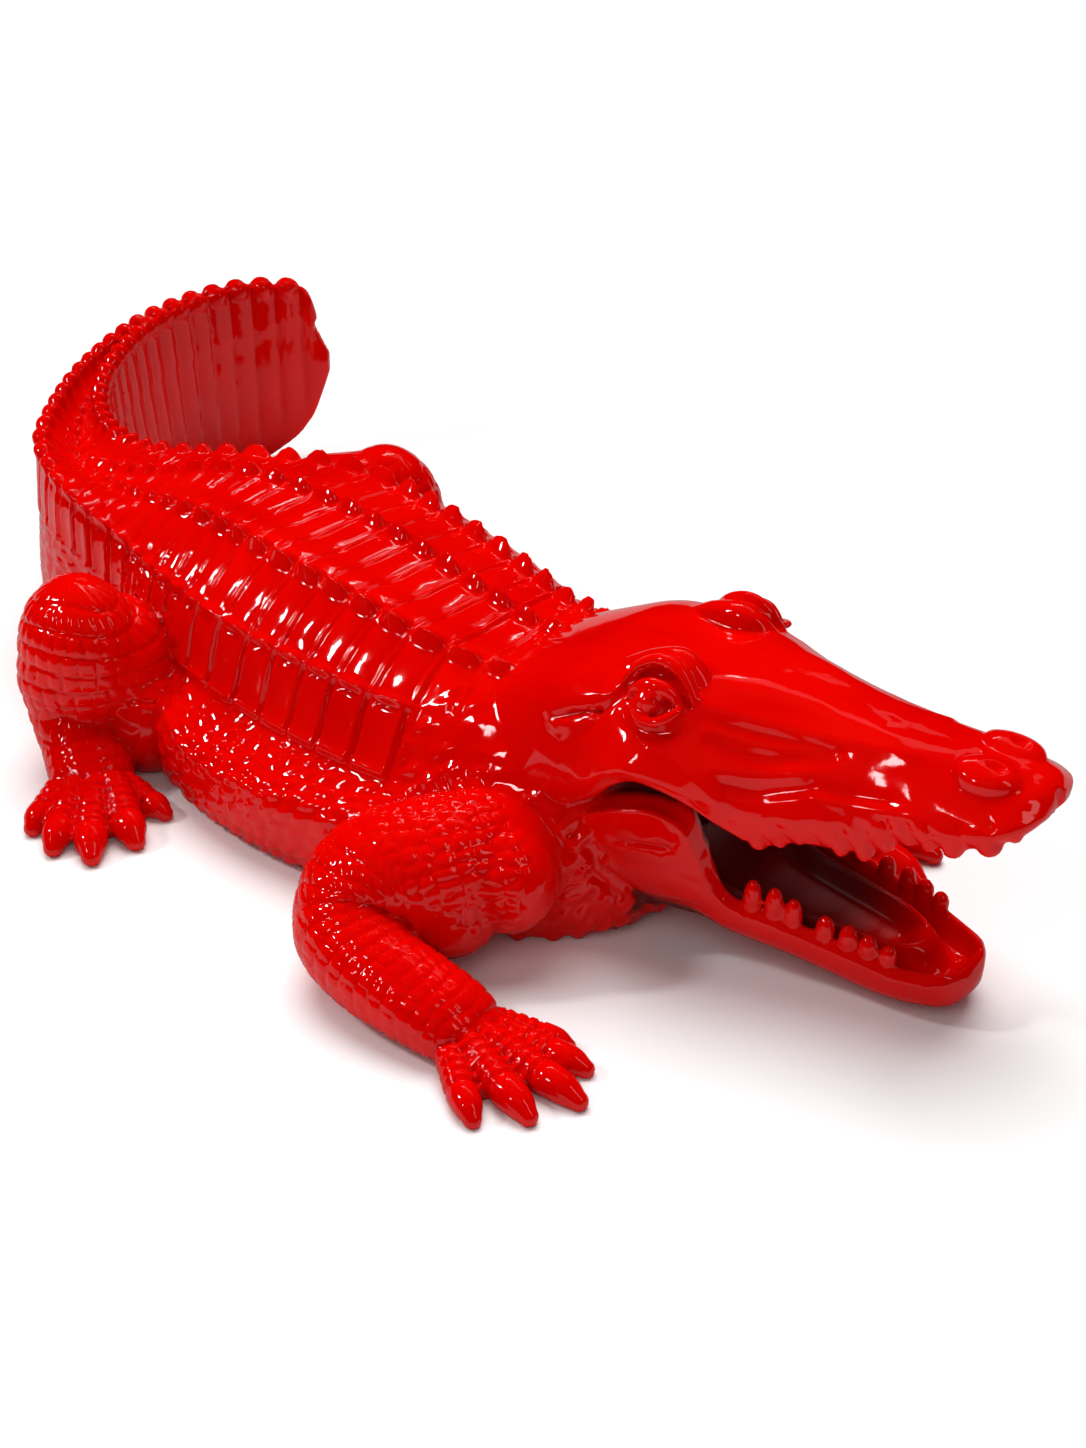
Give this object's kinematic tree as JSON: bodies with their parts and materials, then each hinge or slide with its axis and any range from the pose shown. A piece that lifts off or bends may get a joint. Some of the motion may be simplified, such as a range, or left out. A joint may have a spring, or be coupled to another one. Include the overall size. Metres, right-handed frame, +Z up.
{
  "type": "crocodile sculpture",
  "caption": "Lying crocodile with open jaws, ridged back and a tail curled to its left, cast in one piece with a high-gloss lacquer.",
  "frame": {"origin": "on the floor under the middle of the trunk, in the flat underside of the belly", "axes": "+X towards the head, +Y to the creature's left, +Z up"},
  "size_m": [1.3387, 0.7371, 0.2844],
  "materials": {
    "red_lacquer": "thick high-gloss red lacquer over cast resin"
  },
  "bodies": {
    "root": {"crocodile": "red_lacquer"}
  },
  "joints": []
}
